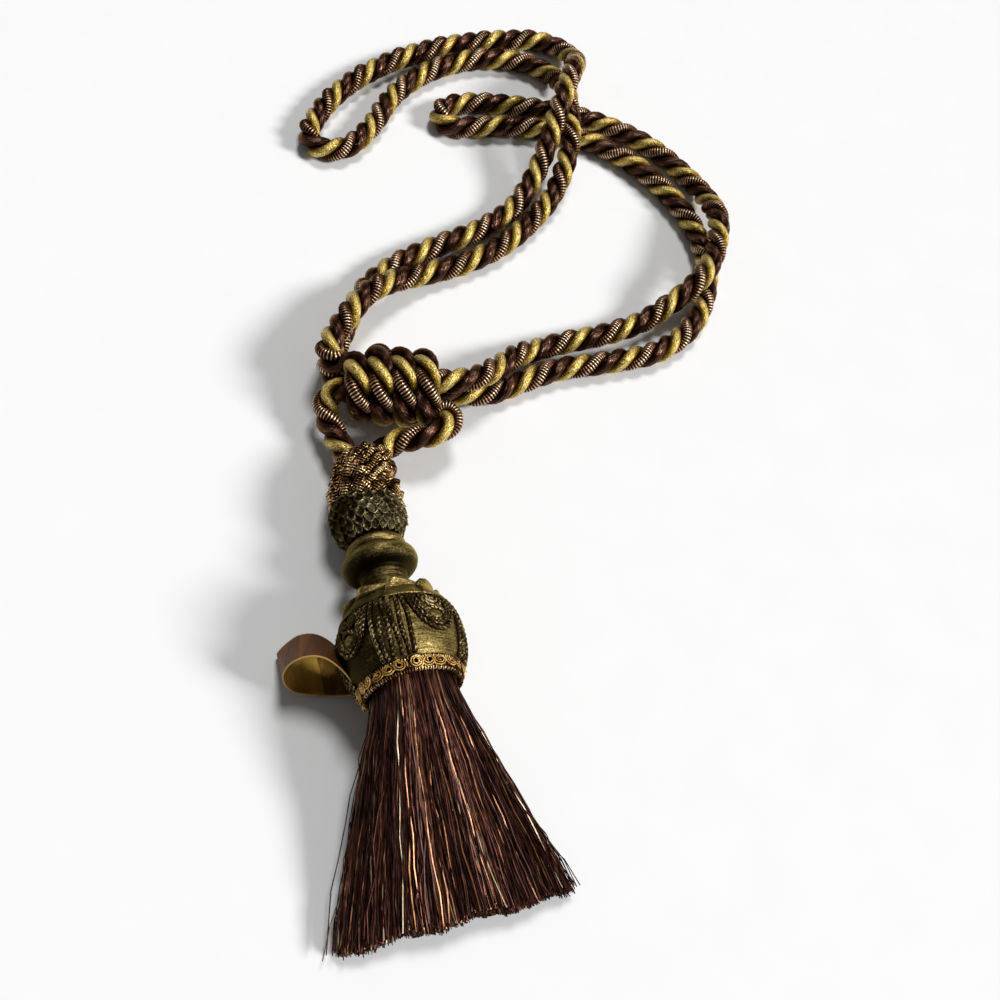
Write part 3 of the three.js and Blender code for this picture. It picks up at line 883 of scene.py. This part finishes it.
GIMP_PLACE, GIMP_RADIUS = -20.7, 18.5
EDGE_CORDS = ((-22.6, 17.0, 1.0), (-18.9, 18.2, 0.7))  # place, radius of the ring, radius of the cord
EDGE_PITCH = 2.2
CURLS, CURL_TURNS, CURL_REACH, CURL_CLOSING = 25, 2.4, 2.5, 0.8
CURL_WIRE = 0.29
gimp_skin = Skin()
band_side = [(15.0, -22.6), *arc(16.4, GIMP_PLACE, 1.9, -1.2, 1.2, 7), (15.2, -18.8)]
turned(gimp_skin, band_side, 72, material=1)
around = np.linspace(0, 360, 240, endpoint=False)
for place, radius, thick in EDGE_CORDS:
    line, ply = on_tassel(around, place, radius), twisted(thick, 0.2, EDGE_PITCH)
    gimp_skin.tube(line, ply, 8, 0.5, outward_on_tassel(around), closed=True, material=2)
gimp_dice = np.random.default_rng(5)
for index in range(CURLS):
    middle = index * 360 / CURLS + gimp_dice.uniform(-2, 2)
    sweep = np.linspace(0, CURL_TURNS, 56)
    reach = CURL_REACH - CURL_CLOSING * sweep
    angle = 2 * np.pi * sweep + gimp_dice.uniform(0, 2 * math.pi)
    turns = middle + np.degrees(reach * np.cos(angle) / (GIMP_RADIUS + 0.1))
    places = GIMP_PLACE + reach * np.sin(angle) * 0.9
    radii = GIMP_RADIUS + 0.3 * sweep + 0.45 * np.sin(angle + index)
    gimp_skin.tube(on_tassel(turns, places, radii), CURL_WIRE, 6, 0.6, outward_on_tassel(turns))


def gold_wire_material():
    """Coiled wire: bright gold, tarnished brown in patches."""
    material, shade = new_material("gold_wire")
    place = shade.place()
    patches = shade.noise(place, 220.0, 3.0)
    twist = shade.noise(run_coords(shade, 2.0, 5.0))
    colour = (patches * 0.7 + twist * 0.5).ramp(
        (0.42, (0.10, 0.038, 0.008)), (0.58, (0.50, 0.27, 0.055)), (0.74, (1.0, 0.72, 0.28)),
    )
    finish_material(
        material, twist, 0.00015, Base_Color=colour, Metallic=0.85, Roughness=0.42 - twist * 0.2,
    )
    return material


gimp = gimp_skin.build("gimp_curls", gold_wire_material(), brown_satin, cap_wire, outward=True)
settle(gimp, "gimp", "gimp_trim")


# ---- Skirt --------------------------------------------------------------------------------------
# About 4,600 rayon threads, dark brown with some of wine and copper and a few of pale gold, glued in
# under the gimp and cut level. They lie limp on the table and part into tufts towards the end.

SKIRT_ROWS = [  # distance back, middle across, middle up, half width, half height
    (-13.2, 0, 24.8, 14.5, 14.5), (-16, 0, 25.2, 14.5, 14.5), (-25, 0, 21.5, 18, 15.2),
    (-37, 0.2, 16.5, 23.5, 15), (-51, 0.4, 11.5, 28.5, 13.5), (-65, 0.6, 8, 33.5, 12),
    (-78, 0.7, 6, 38, 10), (-89.6, 0.8, 4.5, 41.2, 8.5),
]
THREADS, THREAD_STEPS, THREAD_RADIUS = 4600, 9, 0.22
THREAD_UP = (0.2, 0.1, 1.0)  # a direction that no thread runs in
SKIRT_ROOT, SKIRT_LENGTH = -13.6, 75.6
TUFTS = 13
LOOSE_SHARE, ASTRAY_SHARE = 0.06, 0.008
thread_dice = np.random.default_rng(3)


def skirt_section(back):
    """The skirt's middle and half size at distances back along the tassel."""
    rows = np.array(SKIRT_ROWS)[::-1]
    return [np.interp(back, rows[:, 0], rows[:, column]) for column in range(1, 5)]


def skirt_threads(count):
    """Each thread's middle line, count by steps by 3: where it starts, how it parts, and its waves."""
    around = thread_dice.uniform(0, 2 * math.pi, count)
    reach = np.sqrt(thread_dice.uniform(0.0, 1.0, count) ** 0.45)
    across, up = reach * np.cos(around), reach * np.sin(around)
    scatter = thread_dice.normal(0, 0.12, count)
    tuft = np.round((across * TUFTS + scatter) / 2) * 2 / TUFTS
    fall = np.linspace(0, 1, THREAD_STEPS)[None, :]
    trim = thread_dice.normal(0, 0.9, count) - 0.5 * np.abs(thread_dice.normal(0, 1, count))
    trim = (trim + 1.1 * np.sin(tuft * 31) - 0.6)[:, None]
    back = SKIRT_ROOT - (SKIRT_LENGTH + trim * 0.8) * fall
    gather = 0.55 * np.clip(fall - 0.5, 0, 1) ** 1.2
    column = across[:, None] * (1 - gather) + tuft[:, None] * gather
    stray = thread_dice.normal(0, 1, (4, count, 1))
    stray = stray * np.array([0.5, 0.35, 0.25, 0.2])[:, None, None]
    wave = stray[0] * np.sin(fall * 5 + stray[1] * 6) * fall + stray[2] * fall ** 2 * 3
    middle_x, middle_z, half_width, half_height = skirt_section(back)
    loose = np.where(thread_dice.uniform(0, 1, (count, 1)) < LOOSE_SHARE, 3.0, 1.0)
    astray = np.where(thread_dice.uniform(0, 1, (count, 1)) < ASTRAY_SHARE, 1.0, 0.0) * fall
    crimp = 0.45 * np.sin(fall * 17 + stray[1] * 9)
    lift = stray[3] * np.sin(fall * 4 + stray[0] * 9) * 1.5 * fall
    lean = math.tan(TILT) * np.clip(1 - fall * 5, 0, 1)
    height = up[:, None] * half_height
    x = middle_x + column * half_width + (wave * 1.3 + crimp) * loose + astray * stray[0] * 7
    z = np.maximum(middle_z + height + astray * 1.6 + lift, 0.3 + 0.2 * np.abs(stray[0]))
    return np.stack([x, back + height * lean, z], axis=-1)


def thread_piece(name, lines, picks):
    """Three-sided threads: one broad grid cut into strips, and each strip rolled round its own line."""
    tangents = unit(np.gradient(lines, axis=1))
    side = unit(np.cross(tangents, THREAD_UP))
    over = np.cross(tangents, side)
    corners = np.radians([90, 210, 330, 450])[:, None]
    corners = corners + thread_dice.uniform(0, 6, (len(lines), 1, 1, 1))
    out = np.cos(corners) * side[:, :, None] + np.sin(corners) * over[:, :, None]
    points = (lines[:, :, None] + out * THREAD_RADIUS).transpose(1, 0, 2, 3).reshape(-1, 3) * MM
    columns = 4 * len(lines) - 1
    strips = bmesh.new()
    bmesh.ops.create_grid(strips, x_segments=columns, y_segments=THREAD_STEPS - 1, size=0.5)
    for vertex, point in zip(strips.verts, points):
        vertex.co = point
    between = []
    for index, face in enumerate(strips.faces):
        thread, column = divmod(index % columns, 4)
        face.material_index = int(picks[thread])
        if column == 3:
            between.append(face)
    bmesh.ops.delete(strips, geom=between, context="FACES")
    mesh = bpy.data.meshes.new(name)
    strips.to_mesh(mesh)
    strips.free()
    return finished_piece(name, mesh, skirt_finishes, smooth=False)


def thread_material(name, dark, light, roughness, metallic=0.6):
    """Rayon in one colour, darker and lighter in long streaks down the skirt."""
    material, shade = new_material(name)
    place = shade.add("Mapping", {}, {"Vector": shade.place(), "Scale": (1, 0.15, 1)})
    tone = shade.noise(place, 900.0)
    colour = tone.ramp((0.35, dark), (0.65, light))
    finish_material(
        material, tone, 0.00008, Base_Color=colour, Roughness=roughness, Metallic=metallic,
        Specular_IOR_Level=0.25,
    )
    return material


skirt_brown = thread_material("skirt_brown", (0.012, 0.005, 0.004), (0.060, 0.022, 0.015), 0.42)
skirt_wine = thread_material("skirt_wine", (0.03, 0.008, 0.006), (0.12, 0.035, 0.022), 0.4)
skirt_copper = thread_material("skirt_copper", (0.16, 0.06, 0.025), (0.42, 0.19, 0.08), 0.35, 0.4)
skirt_pale = thread_material("skirt_pale", (0.5, 0.38, 0.22), (0.8, 0.66, 0.45), 0.35, 0.3)
skirt_finishes = (skirt_brown, skirt_wine, skirt_copper, skirt_pale)
FINISH_SHARES = (0.53, 0.33, 0.115, 0.025)
lines = skirt_threads(THREADS)
picks = thread_dice.choice(len(skirt_finishes), THREADS, p=FINISH_SHARES)
half = THREADS // 2
threads_a = thread_piece("skirt_threads_a", lines[:half], picks[:half])
settle(threads_a, "skirt_thread", "tassel_skirt")
settle(thread_piece("skirt_threads_b", lines[half:], picks[half:]), "skirt_thread")

# The threads deep inside are one closed brown core.
CORE_WIDE, CORE_HIGH = 0.86, 0.84  # of the skirt's own half width and half height
skirt_core_skin = Skin()
back = np.linspace(-14, -80, 15)[:, None]
around = np.linspace(0, -2 * math.pi, 41)[None, :]
middle_x, middle_z, half_width, half_height = skirt_section(back)
core_x = middle_x + CORE_WIDE * half_width * np.cos(around)
core_z = np.maximum(middle_z + CORE_HIGH * half_height * np.sin(around), 0.8)
core_points = np.stack([core_x, back + 0 * around, core_z], axis=-1)
skirt_core_skin.lay(core_points[:, ::-1], width=100, length=80)
settle(skirt_core_skin.build("skirt_core", skirt_brown), "skirt_thread")


# ---- Ribbon loop --------------------------------------------------------------------------------
# A loop of two-faced satin ribbon, brown outside and amber inside, glued in under the gimp and
# standing out to the left. Its selvedges are woven with pale gold thread.

RIBBON_WIDTH, RIBBON_THICKNESS = 18.0, 0.5
RIBBON_ROWS, RIBBON_COLUMNS = 110, 19
RIBBON_STATIONS = [  # near selvedge, then far selvedge, from the upper root round to the lower root
    ((-15.5, -12.5, 22.5), (-14.5, -2, 8.5)), ((-19.8, -7.6, 26.4), (-18.6, 4.6, 13)),
    ((-23.5, -2.0, 28.2), (-22.8, 11.2, 15.8)), ((-28.2, 2.4, 28.7), (-27.8, 15.6, 16.2)),
    ((-33.4, 4.2, 27.4), (-33.3, 17.1, 14.6)), ((-38.2, 4.4, 24.0), (-38.2, 16.4, 10.5)),
    ((-41.4, 3.2, 18.6), (-41.5, 15.6, 5)), ((-41.6, 1.2, 12.6), (-41.3, 16, 1.4)),
    ((-38.6, -0.8, 7.2), (-38, 16.6, 0.7)), ((-33, -2.2, 4.2), (-33, 15.7, 0.7)),
    ((-27, -3.6, 3.3), (-27, 14.3, 0.8)), ((-20.5, -5.2, 4.2), (-20.5, 12.7, 1.6)),
    ((-14.5, -6.2, 6.5), (-14.5, 11.6, 4.4)),
]


def selvedge_line(stations):
    """A smooth line through the stations, with as many even steps as the ribbon has rows."""
    edge = smooth_line(stations, 0.5)
    return at_places(edge, np.linspace(0, 1, RIBBON_ROWS) * run_lengths(edge)[-1])


near_edge, far_edge = [selvedge_line(stations) for stations in zip(*RIBBON_STATIONS)]
across = np.linspace(0, 1, RIBBON_COLUMNS)[None, :, None]
ribbon_points = near_edge[:, None] * (1 - across) + far_edge[:, None] * across
ribbon_length = run_lengths(ribbon_points[:, RIBBON_COLUMNS // 2])[-1]
ribbon_skin = Skin()
ribbon_skin.lay(ribbon_points, RIBBON_WIDTH, ribbon_length)


def ribbon_material(name, dark, light, roughness, metallic):
    """Satin in one colour: fine weft lines, soft folds in its bump and as painted shade, and broad panels
    with a painted highlight.
    """
    material, shade = new_material(name)
    weft = shade.noise(run_coords(shade, 0.25, 6.0))
    fold_bump_and_shade = shade.noise(run_coords(shade, 0.03, 0.16), detail=1.0)
    cells = {"Vector": run_coords(shade, 0.012, 0.11), "Scale": 1.0}
    cells = shade.add("TexVoronoi", {}, cells, output="Color")
    painted_light_panels = shade.add("SeparateXYZ", {}, {"Vector": cells}, "X")
    off_middle = (run_part(shade, "X") - RIBBON_WIDTH / 2).maths("ABSOLUTE")
    selvedge = off_middle.clamped(RIBBON_WIDTH / 2 - 0.4, RIBBON_WIDTH / 2 - 0.25)
    body = (fold_bump_and_shade * 0.4 + weft * 0.25 + painted_light_panels * 0.35).ramp((0.33, dark), (0.66, light))
    finish_material(
        material, weft * 0.2 + fold_bump_and_shade, 0.0012, Base_Color=selvedge.mix(body, (0.55, 0.34, 0.12)),
        Roughness=roughness, Metallic=metallic, Specular_IOR_Level=0.25, Specular_Tint=WARM_EDGE,
    )
    return material


ribbon_outside = ribbon_material(
    "ribbon_outside", (0.050, 0.016, 0.002), (0.20, 0.070, 0.012), roughness=0.42, metallic=0.35,
)
ribbon_inside = ribbon_material(
    "ribbon_inside", (0.085, 0.040, 0.006), (0.62, 0.38, 0.07), roughness=0.32, metallic=0.6,
)
ribbon = ribbon_skin.build("ribbon", ribbon_outside, ribbon_inside, fill=False)
ribbon_wall = ribbon.modifiers.new("ribbon_wall", "SOLIDIFY")
ribbon_wall.thickness = RIBBON_THICKNESS * MM
ribbon_wall.offset = 0.0
ribbon_wall.material_offset = 1
settle(ribbon, "ribbon", "ribbon_loop")
